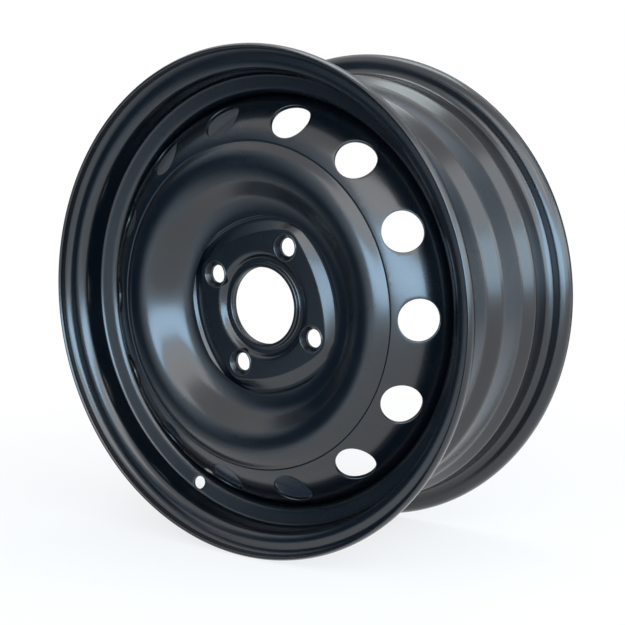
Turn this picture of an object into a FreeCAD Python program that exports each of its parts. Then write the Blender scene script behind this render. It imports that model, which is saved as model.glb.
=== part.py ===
import FreeCAD, Part
import math
import os

import Sketcher

# Pressed steel car wheel: a rolled rim, a stamped disc and the weld beads that join them.
# The axle runs along Y with the outboard face towards -Y, and the origin is the wheel's centre.

os.makedirs("parts", exist_ok=True)
doc = FreeCAD.newDocument("Wheel")
Vector = FreeCAD.Vector

# Driving dimensions in millimetres and degrees
DIMENSIONS = {
    # Rolled rim
    "rim_diameter": 380.2,
    "rim_width": 152.4,
    "rim_sheet": 2.6,
    "flange_height": 17.3,
    "lip_reach": 2.3,
    "lip_flat": 0.5,
    "lip_bend": 3.4,
    "curl_bend": 5.9,
    "root_bend": 6.5,
    "seat_width": 18.0,
    "seat_drop": 1.6,
    "hump_height": 0.8,
    "hump_width": 3.6,
    "hump_bend": 3.0,
    "shoulder_run": 12.1,
    "well_depth": 17.3,
    "well_width": 43.5,
    "well_bend": 6.0,
    "ledge_rise": 8.2,
    "ledge_run": 12.0,
    "ledge_climb": 1.5,
    "ledge_bend": 7.0,
    "step_run": 10.6,
    "step_bend": 6.0,
    "valve_hole": 11.3,
    "valve_angle": 244.15,
    # Stamped disc
    "disc_sheet": 3.5,
    "wheel_offset": 56.0,
    "flange_length": 33.0,
    "flange_bend": 18.5,
    "band_width": 35.7,
    "band_rise": 16.5,
    "crease_bend": 3.0,
    "crown_run": 6.0,
    "crown_rise": 9.7,
    "crown_bend": 5.0,
    "crown_width": 15.5,
    "crown_fall": 1.2,
    "bowl_bend": 21.5,
    "bowl_depth": 21.5,
    "ledge_bend_radius": 10.0,
    "ledge_margin": 8.0,
    "vent_count": 14,
    "vent_diameter": 36.0,
    "vent_inset": 18.0,
    # Hub area of the disc
    "bolt_count": 4,
    "bolt_circle": 108.0,
    "bolt_hole": 15.0,
    "seat_mouth": 20.5,
    "seat_slope": 30.0,
    "boss_height": 0.8,
    "boss_rim": 1.2,
    "boss_flare": 2.0,
    "boss_clearance": 0.3,
    "pan_depth": 3.0,
    "pan_margin": 16.0,
    "pan_corner": 4.0,
    "pan_corner_bend": 5.0,
    "pan_run": 5.5,
    "pan_edge": 2.0,
    "mesa_margin": 6.0,
    "mesa_run": 3.5,
    "mesa_bend": 1.5,
    "mesa_lap": 4.0,
    "recess_inset": 7.5,
    "recess_run": 6.5,
    "recess_bend": 1.5,
    "bore_diameter": 63.4,
    "collar_height": 3.3,
    "collar_bend": 1.0,
    # Weld beads
    "weld_count": 8,
    "weld_span": 30.0,
    "weld_leg": 3.4,
}

sheet = doc.addObject("Spreadsheet::Sheet", "Sizes")
for row, (alias, number) in enumerate(DIMENSIONS.items(), start=1):
    sheet.set("A" + str(row), alias)
    sheet.set("B" + str(row), str(number))
    sheet.setAlias("B" + str(row), alias)
doc.recompute()


class Formula:
    """A size that holds both its number and its expression on the spreadsheet."""

    def __init__(self, number, text):
        self.number = number
        self.text = text

    def join(self, other, sign, number):
        text = other.text if isinstance(other, Formula) else repr(other)
        return Formula(number, "(" + self.text + " " + sign + " " + text + ")")

    def __add__(self, other):
        return self.join(other, "+", self.number + plain(other))

    def __sub__(self, other):
        return self.join(other, "-", self.number - plain(other))

    def __mul__(self, other):
        return self.join(other, "*", self.number * plain(other))

    def __truediv__(self, other):
        return self.join(other, "/", self.number / plain(other))

    def __neg__(self):
        return Formula(-self.number, "(0 - " + self.text + ")")


def plain(size):
    """The number of a formula or of a plain value."""
    return size.number if isinstance(size, Formula) else size


def size(alias):
    """The formula of one spreadsheet cell."""
    return Formula(float(DIMENSIONS[alias]), "Sizes." + alias)


def tangent(angle):
    """The tangent of an angle in degrees."""
    return Formula(math.tan(math.radians(angle.number)), "tan(" + angle.text + " * 1 deg)")


def root(square):
    """The square root of a formula."""
    return Formula(math.sqrt(square.number), "sqrt(" + square.text + ")")


def new_body(label):
    """A body turned so that its own X axis points at the valve hole."""
    body = doc.addObject("PartDesign::Body", label)
    body.Label = label
    body.Placement = FreeCAD.Placement(
        Vector(0, 0, 0),
        FreeCAD.Rotation(Vector(0, 1, 0), -DIMENSIONS["valve_angle"]),
    )
    return body


def origin_feature(body, role):
    """The body's own origin plane or axis with this role."""
    return next(item for item in body.Origin.OriginFeatures if item.Role == role)


def new_sketch(body, name, plane, offset=None, turn=0.0):
    """A sketch on one of the body's planes, moved along its normal or turned about its own Y."""
    sketch = body.newObject("Sketcher::SketchObject", name)
    sketch.AttachmentSupport = [(origin_feature(body, plane), "")]
    sketch.MapMode = "FlatFace"
    sketch.AttachmentOffset = FreeCAD.Placement(
        Vector(0, 0, plain(offset) if offset else 0),
        FreeCAD.Rotation(Vector(0, 1, 0), -turn),
    )
    if offset:
        sketch.setExpression("AttachmentOffset.Base.z", offset.text)
    return sketch


def drive(sketch, kind, geometry, formula):
    """Add a dimension to a sketch and bind it to the spreadsheet."""
    index = sketch.addConstraint(Sketcher.Constraint(kind, *geometry, formula.number))
    sketch.setExpression("Constraints[" + str(index) + "]", formula.text)


def place_point(sketch, geometry, x, y):
    """Fix a sketch point by its two driven distances from the origin."""
    drive(sketch, "DistanceX", (-1, 1) + geometry, x)
    drive(sketch, "DistanceY", (-1, 1) + geometry, y)


def polygon(sketch, corners):
    """A closed outline of straight edges through driven corner points."""
    points = [Vector(x.number, y.number, 0) for x, y in corners]
    count = len(points)
    lines = []
    for index, point in enumerate(points):
        lines.append(sketch.addGeometry(Part.LineSegment(point, points[(index + 1) % count])))
    for index, line in enumerate(lines):
        sketch.addConstraint(Sketcher.Constraint("Coincident", line, 2, lines[(index + 1) % count], 1))
    for line, (x, y) in zip(lines, corners):
        place_point(sketch, (line, 1), x, y)
    return lines


def bent_arc(centre, radius, start, end, turns_left):
    """An arc of a bend from its start to its end, and which of its ends is the start."""
    first, last = (start, end) if turns_left else (end, start)
    angles = [math.atan2(point.y - centre.y, point.x - centre.x) for point in (first, last)]
    circle = Part.Circle(centre, Vector(0, 0, 1), radius)
    arc = Part.ArcOfCircle(circle, angles[0], angles[1])
    return arc, (1, 2) if turns_left else (2, 1)


def bent_strip(sketch, corners, thickness, side):
    """A strip of sheet bent along driven corners, its second face on the given side (1 is left).

    Each corner has its place on the first face and its bend radius on the hollow side.
    """
    points = [Vector(x.number, y.number, 0) for x, y, bend in corners]
    count = len(points)
    along = [(points[i + 1] - points[i]).normalize() for i in range(count - 1)]
    across = [Vector(-d.y, d.x, 0) * side for d in along]
    shift = [n * thickness.number for n in across]

    ends = [points[0]]
    bends = []
    for i in range(1, count - 1):
        turn = along[i - 1].x * along[i].y - along[i - 1].y * along[i].x
        turns_left = turn > 0
        bend = corners[i][2]
        outside = bend + thickness
        radii = (outside, bend) if turns_left == (side > 0) else (bend, outside)
        half = 0.5 * math.acos(max(-1.0, min(1.0, along[i - 1].dot(along[i]))))
        reach = radii[0].number * math.tan(half)
        start = points[i] - along[i - 1] * reach
        end = points[i] + along[i] * reach
        inward = across[i - 1] * (side if turns_left else -side)
        bends.append((start + inward * radii[0].number, radii, turns_left))
        ends += [start, end]
    ends.append(points[-1])

    faces = []
    for face in (0, 1):
        lines = []
        arcs = []
        for i in range(count - 1):
            move = shift[i] if face else Vector(0, 0, 0)
            line = Part.LineSegment(ends[2 * i] + move, ends[2 * i + 1] + move)
            lines.append(sketch.addGeometry(line))
        for i, (centre, radii, turns_left) in enumerate(bends):
            start = ends[2 * i + 1] + (shift[i] if face else Vector(0, 0, 0))
            end = ends[2 * i + 2] + (shift[i + 1] if face else Vector(0, 0, 0))
            arc, order = bent_arc(centre, radii[face].number, start, end, turns_left)
            arcs.append((sketch.addGeometry(arc), order))
        joints = []
        for i, (arc, order) in enumerate(arcs):
            joints.append(Sketcher.Constraint("Tangent", lines[i], 2, arc, order[0]))
            joints.append(Sketcher.Constraint("Tangent", arc, order[1], lines[i + 1], 1))
        sketch.addConstraint(joints)
        faces.append((lines, arcs))

    (first_lines, first_arcs), (second_lines, second_arcs) = faces
    for i, (centre, radii, turns_left) in enumerate(bends):
        first = first_arcs[i][0]
        second = second_arcs[i][0]
        sketch.addConstraint(Sketcher.Constraint("Coincident", second, 3, first, 3))
        drive(sketch, "Radius", (first,), radii[0])
        drive(sketch, "Radius", (second,), radii[1])

    for i, (x, y, bend) in enumerate(corners):
        if i == 0:
            place_point(sketch, (first_lines[0], 1), x, y)
        elif i == count - 1:
            place_point(sketch, (first_lines[-1], 2), x, y)
        else:
            corner = sketch.addGeometry(Part.Point(points[i]), True)
            place_point(sketch, (corner, 1), x, y)
            sketch.addConstraint([
                Sketcher.Constraint("PointOnObject", corner, 1, first_lines[i - 1]),
                Sketcher.Constraint("PointOnObject", corner, 1, first_lines[i]),
            ])

    for i, end in ((0, 1), (-1, 2)):
        near = first_lines[i]
        far = second_lines[i]
        points_at = [sketch.getPoint(near, end), sketch.getPoint(far, end)]
        cap = sketch.addGeometry(Part.LineSegment(*points_at))
        sketch.addConstraint([
            Sketcher.Constraint("Parallel", near, far),
            Sketcher.Constraint("Coincident", cap, 1, near, end),
            Sketcher.Constraint("Coincident", cap, 2, far, end),
            Sketcher.Constraint("Perpendicular", cap, near),
        ])


def turned(body, kind, name, sketch, axis="V_Axis"):
    """A full revolution or groove of a sketch about one of its axes."""
    feature = body.newObject("PartDesign::" + kind, name)
    feature.Profile = sketch
    feature.ReferenceAxis = (sketch, [axis])
    feature.Angle = 360.0
    sketch.Visibility = False
    doc.recompute()
    return feature


def around_axle(body, name, features, count):
    """Repeat features evenly about the axle."""
    pattern = body.newObject("PartDesign::PolarPattern", name)
    pattern.Originals = features
    pattern.Axis = (origin_feature(body, "Y_Axis"), [""])
    pattern.Angle = 360.0
    pattern.Occurrences = int(count.number)
    pattern.setExpression("Occurrences", count.text)
    body.Tip = pattern
    doc.recompute()
    return pattern


# Rim: strip rolled into flange, bead seat, well, ledge, bead seat and flange
rim_sheet = size("rim_sheet")
half_width = size("rim_width") / 2
bead_radius = size("rim_diameter") / 2
flange_radius = bead_radius + size("flange_height")
well_radius = bead_radius - size("well_depth")
well_inside = well_radius - rim_sheet
curl_outside = size("curl_bend") + rim_sheet
lip_outside = size("lip_bend") + rim_sheet
half_turn = math.tan(math.radians(22.5))
lip_corner = half_width + curl_outside + size("lip_flat") + lip_outside * half_turn
seat_radius = bead_radius - size("seat_drop")
seat_end = half_width - size("seat_width")
hump_radius = seat_radius + size("hump_height")
hump_place = seat_end - size("hump_width")
well_start = -hump_place + size("shoulder_run")
well_end = well_start + size("well_width")
ledge_start = well_end + size("ledge_run")
ledge_radius = well_radius + size("ledge_rise")
ledge_end = hump_place - size("step_run")
ledge_top = ledge_radius + size("ledge_climb")


def flange_corners(sign):
    """Corners from the lip's edge to the bead hump, on the outboard (-1) or inboard (1) side."""
    return [
        (flange_radius - size("lip_reach"), (lip_corner + size("lip_reach")) * sign, None),
        (flange_radius, lip_corner * sign, size("lip_bend")),
        (flange_radius, half_width * sign, size("curl_bend")),
        (bead_radius, half_width * sign, size("root_bend")),
        (seat_radius, seat_end * sign, size("hump_bend")),
        (hump_radius, hump_place * sign, size("hump_bend")),
    ]


rim_corners = flange_corners(-1) + [
    (well_radius, well_start, size("well_bend")),
    (well_radius, well_end, size("ledge_bend")),
    (ledge_radius, ledge_start, size("ledge_bend")),
    (ledge_top, ledge_end, size("step_bend")),
] + flange_corners(1)[::-1]

rim = new_body("rim")
rim_profile = new_sketch(rim, "RimProfile", "XY_Plane")
bent_strip(rim_profile, rim_corners, rim_sheet, 1)
turned(rim, "Revolution", "RolledStrip", rim_profile)

# Valve hole, square to the outboard shoulder
shoulder_fall = hump_radius - well_radius
shoulder_run = size("shoulder_run")
shoulder_length = root(shoulder_fall * shoulder_fall + shoulder_run * shoulder_run)
valve_place = ((hump_radius + well_radius) / 2, (well_start - hump_place) / 2)
valve_reach = rim_sheet * 3
valve_along = (shoulder_run / shoulder_length, shoulder_fall / shoulder_length)


def beside(place, along, distance, side):
    """A point at a distance along a slanted axis and at a distance to its side."""
    x = place[0] + along[0] * distance - along[1] * side
    y = place[1] + along[1] * distance + along[0] * side
    return x, y


def slanted_hole(body, name, place, along, reach, radius, turn=0.0):
    """A round hole through the sheet about a slanted axis in the plane of the axle."""
    sketch = new_sketch(body, name + "Profile", "XY_Plane", turn=turn)
    none = radius * 0
    lines = polygon(sketch, [
        beside(place, along, -reach, none),
        beside(place, along, reach, none),
        beside(place, along, reach, radius),
        beside(place, along, -reach, radius),
    ])
    axis = sketch.addGeometry(sketch.Geometry[lines[0]], True)
    sketch.addConstraint([
        Sketcher.Constraint("Coincident", axis, 1, lines[0], 1),
        Sketcher.Constraint("Coincident", axis, 2, lines[0], 2),
    ])
    return turned(body, "Groove", name, sketch, "Axis0")


slanted_hole(rim, "ValveHole", valve_place, valve_along, valve_reach, size("valve_hole") / 2)

# Disc: flange, vent band, crown, bowl and hub ledge as one turned strip
disc_sheet = size("disc_sheet")
hub_face = -size("wheel_offset")
floor_level = hub_face - disc_sheet
ledge_level = floor_level - size("pan_depth")
crown_inner_level = ledge_level - size("bowl_depth")
crown_outer_level = crown_inner_level - size("crown_fall")
crease_level = crown_outer_level + size("crown_rise")
bend_level = crease_level + size("band_rise")
flange_end = bend_level + size("flange_length")
crease_radius = well_inside - size("band_width")
crown_radius = crease_radius - size("crown_run")
crown_inner_radius = crown_radius - size("crown_width")
bolt_radius = size("bolt_circle") / 2
pan_radius = bolt_radius + size("pan_margin")
pan_corner_radius = pan_radius + size("pan_corner")
mouth_ratio = (pan_radius + size("pan_run")) / pan_radius
ledge_radius_inner = pan_radius + size("pan_run") + size("ledge_margin")
mesa_foot_radius = bolt_radius + size("mesa_margin")
mesa_radius = mesa_foot_radius - size("mesa_run")

disc = new_body("disc")
disc_profile = new_sketch(disc, "DiscProfile", "XY_Plane")
bent_strip(disc_profile, [
    (well_inside, flange_end, None),
    (well_inside, bend_level, size("flange_bend")),
    (crease_radius, crease_level, size("crease_bend")),
    (crown_radius, crown_outer_level, size("crown_bend")),
    (crown_inner_radius, crown_inner_level, size("bowl_bend")),
    (ledge_radius_inner, ledge_level, size("ledge_bend_radius")),
    (mesa_foot_radius, ledge_level, None),
], disc_sheet, -1)
turned(disc, "Revolution", "StampedStrip", disc_profile)


def pan_outline(name, corner, middle, level):
    """A square with bulging sides and rounded corners, the corners on the bolt axes."""
    sketch = new_sketch(disc, name, "XZ_Plane", offset=-level)
    bend = size("pan_corner_bend")
    pull = (corner * corner - middle * middle) / (middle * 2 - corner * math.sqrt(2))
    side = middle + pull
    lean = pull / math.sqrt(2)
    reach = side - bend
    place = root(reach * reach - lean * lean) - lean
    swing = math.atan2(lean.number, place.number + lean.number)
    corner_arcs = []
    side_arcs = []
    for quarter in range(4):
        axis = quarter * math.pi / 2
        centre = Vector(math.cos(axis), math.sin(axis), 0) * place.number
        circle = Part.Circle(centre, Vector(0, 0, 1), bend.number)
        arc = Part.ArcOfCircle(circle, axis - swing, axis + swing)
        corner_arcs.append(sketch.addGeometry(arc))
        diagonal = axis + math.pi / 4
        centre = Vector(math.cos(diagonal), math.sin(diagonal), 0) * -pull.number
        circle = Part.Circle(centre, Vector(0, 0, 1), side.number)
        arc = Part.ArcOfCircle(circle, axis + swing, axis + math.pi / 2 - swing)
        side_arcs.append(sketch.addGeometry(arc))
    for quarter in range(4):
        here = corner_arcs[quarter]
        sketch.addConstraint([
            Sketcher.Constraint("Tangent", here, 2, side_arcs[quarter], 1),
            Sketcher.Constraint("Tangent", here, 1, side_arcs[quarter - 1], 2),
            Sketcher.Constraint("PointOnObject", here, 3, -1 - quarter % 2),
        ])
        drive(sketch, "Radius", (here,), bend)
        drive(sketch, "Radius", (side_arcs[quarter],), side)
        kind = ("DistanceX", "DistanceY")[quarter % 2]
        drive(sketch, kind, (-1, 1, here, 3), -place if quarter > 1 else place)
    return sketch


def pan_loft(kind, name, outset, shift):
    """The hub pan's hollow in front, or its back, as a loft between a floor and a mouth outline."""
    middle = pan_radius + outset
    corner = pan_corner_radius + outset
    floor = pan_outline(name + "Floor", corner, middle, floor_level + shift)
    mouth = pan_outline(name + "Mouth", corner * mouth_ratio, middle * mouth_ratio, ledge_level + shift)
    loft = disc.newObject("PartDesign::" + kind, name)
    loft.Profile = floor
    loft.Sections = [mouth]
    loft.Ruled = True
    doc.recompute()
    return loft


def rounded(name, feature, level, reach, radius):
    """Round the edges of a feature that lie in one plane across the axle, within a reach of it."""
    edges = []
    for number, edge in enumerate(feature.Shape.Edges, start=1):
        points = [vertex.Point for vertex in edge.Vertexes]
        in_plane = all(abs(point.y - level.number) < 0.01 for point in points)
        in_reach = all(math.hypot(point.x, point.z) < reach.number + 0.01 for point in points)
        if in_plane and in_reach:
            edges.append("Edge" + str(number))
    fillet = disc.newObject("PartDesign::Fillet", name)
    fillet.Base = (feature, edges)
    fillet.Radius = radius.number
    fillet.setExpression("Radius", radius.text)
    doc.recompute()
    return fillet


# Hub pan: a bulging square pressed back to the hub face, its corners clear of the bolt sockets
pan_run = size("pan_run")
pan_depth = size("pan_depth")
pan_slope = root(pan_run * pan_run + pan_depth * pan_depth)
pan_outset = disc_sheet * (pan_slope - pan_run) / pan_depth
flush = disc_sheet * 0
mouth_reach = pan_corner_radius * mouth_ratio

pan_loft("AdditiveLoft", "PanBack", pan_outset, disc_sheet)
pan = pan_loft("SubtractiveLoft", "PanFront", flush, flush)
rounded("PanEdge", pan, ledge_level, mouth_reach, size("pan_edge"))

# Opening in the pan's floor for the ring that carries the bolt seats
mesa_mouth_radius = mesa_foot_radius + size("mesa_lap") / 2
opening_sketch = new_sketch(disc, "MesaOutline", "XZ_Plane")
circle = opening_sketch.addGeometry(Part.Circle(Vector(0, 0, 0), Vector(0, 0, 1), mesa_mouth_radius.number))
opening_sketch.addConstraint(Sketcher.Constraint("Coincident", circle, 3, -1, 1))
drive(opening_sketch, "Radius", (circle,), mesa_mouth_radius)
opening = disc.newObject("PartDesign::Pocket", "MesaOpening")
opening.Profile = opening_sketch
opening.Type = "ThroughAll"
opening.Midplane = True
doc.recompute()

# Raised ring under the bolt seats, recess round the bore, and the bore's collar turned outboard
recess_radius = bolt_radius - size("recess_inset")
recess_floor_radius = recess_radius - size("recess_run")
collar_radius = size("bore_diameter") / 2 + disc_sheet
hub_profile = new_sketch(disc, "HubProfile", "XY_Plane")
bent_strip(hub_profile, [
    (mesa_foot_radius + size("mesa_lap"), floor_level, None),
    (mesa_foot_radius, floor_level, size("mesa_bend")),
    (mesa_radius, ledge_level, size("mesa_bend")),
    (recess_radius, ledge_level, size("recess_bend")),
    (recess_floor_radius, floor_level, size("recess_bend")),
    (collar_radius, floor_level, size("collar_bend")),
    (collar_radius, floor_level - size("collar_height"), None),
], disc_sheet, -1)
turned(disc, "Revolution", "HubRing", hub_profile)

# Bolt seats: a round boss with a conical mouth at each corner of the pan
hole_radius = size("bolt_hole") / 2
mouth_radius = size("seat_mouth") / 2
boss_radius = mouth_radius + size("boss_rim")
boss_foot_radius = boss_radius + size("boss_flare")
boss_level = ledge_level - size("boss_height")
boss_back_level = hub_face - size("boss_clearance")
cone_depth = (mouth_radius - hole_radius) / tangent(size("seat_slope"))
centre = hole_radius * 0


def about_bolt(kind, name, outline):
    """A feature turned about the bolt's own axis, from radii about that axis and levels."""
    sketch = new_sketch(disc, name + "Profile", "XY_Plane")
    lines = polygon(sketch, [(bolt_radius + radius, level) for radius, level in outline])
    axis = sketch.addGeometry(sketch.Geometry[lines[0]], True)
    sketch.addConstraint([
        Sketcher.Constraint("Coincident", axis, 1, lines[0], 1),
        Sketcher.Constraint("Coincident", axis, 2, lines[0], 2),
    ])
    return turned(disc, kind, name, sketch, "Axis0")


boss = about_bolt("Revolution", "BoltBoss", [
    (centre, boss_back_level),
    (centre, boss_level),
    (boss_radius, boss_level),
    (boss_foot_radius, floor_level),
    (boss_foot_radius, boss_back_level),
])
seat = about_bolt("Groove", "BoltSeat", [
    (centre, boss_back_level + disc_sheet),
    (centre, boss_level - disc_sheet),
    (mouth_radius, boss_level - disc_sheet),
    (mouth_radius, boss_level),
    (hole_radius, boss_level + cone_depth),
    (hole_radius, boss_back_level + disc_sheet),
])
around_axle(disc, "BoltSeats", [boss, seat], size("bolt_count"))

# Vent holes, punched square to the band, half a pitch away from the valve
vent_radius = well_inside - size("vent_inset")
vent_level = bend_level - size("vent_inset") * size("band_rise") / size("band_width")
band_length = root(size("band_width") * size("band_width") + size("band_rise") * size("band_rise"))
vent_along = (size("band_rise") / band_length, -size("band_width") / band_length)
half_pitch = 180.0 / DIMENSIONS["vent_count"]
vent = slanted_hole(
    disc,
    "Vent",
    (vent_radius, vent_level),
    vent_along,
    size("vent_diameter") / 2,
    size("vent_diameter") / 2,
    half_pitch,
)
around_axle(disc, "Vents", [vent], size("vent_count"))

# Weld beads between the disc's flange edge and the rim's well
weld_leg = size("weld_leg")
weld_sketch = doc.addObject("Sketcher::SketchObject", "WeldProfile")
polygon(weld_sketch, [
    (well_inside, flange_end),
    (well_inside, flange_end + weld_leg),
    (well_inside - weld_leg / 3, flange_end + weld_leg * 2 / 3),
    (well_inside - weld_leg, flange_end),
])
doc.recompute()
beads = []
for number in range(DIMENSIONS["weld_count"]):
    bead = doc.addObject("Part::Revolution", "WeldBead")
    bead.Source = weld_sketch
    bead.Axis = Vector(0, 1, 0)
    bead.Solid = True
    bead.Angle = DIMENSIONS["weld_span"]
    bead.setExpression("Angle", "Sizes.weld_span")
    bead.Placement = FreeCAD.Placement(
        Vector(0, 0, 0),
        FreeCAD.Rotation(Vector(0, 1, 0), 360.0 * number / DIMENSIONS["weld_count"]),
    )
    beads.append(bead)
weld_beads = doc.addObject("Part::Compound", "weld_beads")
weld_beads.Label = "weld_beads"
weld_beads.Links = beads
doc.recompute()

# Check every object, then write each piece to its own file
for part_object in doc.Objects:
    state = part_object.State
    if "Invalid" in state or "Error" in state:
        raise RuntimeError("not built: " + part_object.Name)
for node in (rim, disc, weld_beads):
    if node.Shape.isNull() or not node.Shape.isValid():
        raise RuntimeError("bad shape: " + node.Label)
    node.Shape.exportStep("parts/" + node.Label + ".step")
    print(node.Label, "volume", round(node.Shape.Volume), "solids", len(node.Shape.Solids))
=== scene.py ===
"""Looks of a black painted pressed-steel car wheel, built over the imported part."""

import math

import bmesh
import bpy
import numpy as np
from bpy.props import FloatProperty, FloatVectorProperty, IntProperty, PointerProperty
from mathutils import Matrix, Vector


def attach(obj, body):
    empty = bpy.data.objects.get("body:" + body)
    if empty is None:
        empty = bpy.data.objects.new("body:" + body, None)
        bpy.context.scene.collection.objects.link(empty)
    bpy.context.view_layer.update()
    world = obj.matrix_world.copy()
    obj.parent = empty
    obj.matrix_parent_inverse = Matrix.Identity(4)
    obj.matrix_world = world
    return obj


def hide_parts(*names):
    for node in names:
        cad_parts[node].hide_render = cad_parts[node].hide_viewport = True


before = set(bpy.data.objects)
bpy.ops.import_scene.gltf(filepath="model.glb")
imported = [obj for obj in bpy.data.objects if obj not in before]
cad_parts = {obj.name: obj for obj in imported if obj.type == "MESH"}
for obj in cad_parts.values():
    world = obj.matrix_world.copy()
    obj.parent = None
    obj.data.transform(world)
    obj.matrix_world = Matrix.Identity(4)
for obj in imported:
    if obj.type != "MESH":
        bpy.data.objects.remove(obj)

bl_info = {
    "name": "Steel Wheel Rim",
    "version": (1, 0, 0),
    "blender": (4, 5, 0),
    "location": "3D View > Sidebar > Wheel",
    "description": "Builds the rim, disc, welds and studio of a pressed-steel car wheel",
    "category": "Object",
}

# Fineness of the meshes
COLUMNS = 224
VALVE_COLUMNS = 8
VALVE_RINGS = 6
VENT_RINGS = 7
BOLT_HALF_COLUMNS = 18
BOLT_RINGS = 10
BOSS_COLUMNS = 56
BEAD_ROWS = 161
BEAD_COLUMNS = 24
SCREEN_COLUMNS = 121
EDGE_STEPS = 4
EDGE_ROUNDS = 80
JOIN_DISTANCE = 2e-6

# Numbers of the rim's corners at the valve hole, in the order of rim_corners
RIM_HUMP, RIM_WELL = 5, 6

# Numbers of the disc's corners, in the order of disc_corners
(
    FLANGE_EDGE, FLANGE_BEND, CREASE_EDGE, CREASE, CROWN, BOWL_FOOT, GROOVE_EDGE, GROOVE,
    MESA_FOOT, MESA_TOP, SEAT_ROW, RECESS, RECESS_FLOOR, COLLAR_ROW, COLLAR, COLLAR_EDGE,
) = range(16)

# Power of an area lamp for each square metre and unit of brightness
LAMP_POWER = 4.0

# Colour of the floor and of the screen's faded edges
PALE = (0.9, 0.9, 0.9, 1.0)


def length(name, description, default):
    """A property for a length in metres."""
    return FloatProperty(
        name=name, description=description, default=default, unit="LENGTH", precision=5
    )


def amount(name, description, default):
    """A property for a number from 0 to 1."""
    return FloatProperty(
        name=name, description=description, default=default, min=0.0, max=1.0, precision=4
    )


def colour(name, description, default):
    """A property for a linear colour."""
    return FloatVectorProperty(
        name=name, description=description, default=default,
        size=3, subtype="COLOR", min=0.0, max=1.0,
    )


def degrees(name, description, default):
    """A property for an angle, with its default in degrees."""
    return FloatProperty(
        name=name, description=description, default=math.radians(default), subtype="ANGLE"
    )


class RimSizes(bpy.types.PropertyGroup):
    """Sizes of the rolled rim."""

    diameter: length("Rim diameter", "Diameter of the bead seats at the flanges", 0.3802)
    width: length("Rim width", "Distance between the flanges' inner faces", 0.1524)
    sheet: length("Sheet", "Thickness of the rolled strip", 0.0026)
    flange_height: length("Flange height", "Height of the flanges over the bead seats", 0.0173)
    lip_reach: length("Lip reach", "How far the lip's edge turns back inwards", 0.0023)
    lip_flat: length("Lip flat", "Flat between the flange's curl and its lip", 0.0005)
    lip_bend: length("Lip bend", "Hollow bend radius at the lip", 0.0034)
    curl_bend: length("Curl bend", "Hollow bend radius at the flange's top", 0.0059)
    root_bend: length("Root bend", "Hollow bend radius at the flange's foot", 0.0065)
    seat_width: length("Seat width", "Width of each bead seat", 0.018)
    seat_drop: length("Seat drop", "Fall of a bead seat over its width", 0.0016)
    hump_height: length("Hump height", "Height of the bead hump", 0.0008)
    hump_width: length("Hump width", "Run from the bead seat to the hump", 0.0036)
    hump_bend: length("Hump bend", "Hollow bend radius at the hump", 0.003)
    shoulder_run: length("Shoulder run", "Run of the shoulder down into the well", 0.0045)
    well_depth: length("Well depth", "Depth of the drop centre", 0.0173)
    well_width: length("Well width", "Width of the drop centre", 0.0511)
    well_bend: length("Well bend", "Hollow bend radius at the shoulder's foot", 0.0045)
    ledge_rise: length("Ledge rise", "Rise from the well to the ledge", 0.0082)
    ledge_run: length("Ledge run", "Run from the well to the ledge", 0.012)
    ledge_climb: length("Ledge climb", "Rise of the ledge over its width", 0.0015)
    ledge_bend: length("Ledge bend", "Hollow bend radius at both ends of the ledge's slope", 0.007)
    step_run: length("Step run", "Run from the ledge to the inboard hump", 0.0106)
    step_bend: length("Step bend", "Hollow bend radius at the ledge's end", 0.006)
    edge: length("Edge rounding", "Rounding of the strip's cut edges", 0.0009)
    valve_hole: length("Valve hole", "Diameter of the valve hole", 0.0113)
    valve_share: amount("Valve place", "Place of the valve hole down the shoulder", 0.58)
    valve_edge: length("Valve hole rounding", "Rounding of the valve hole's edges", 0.0003)


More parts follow.
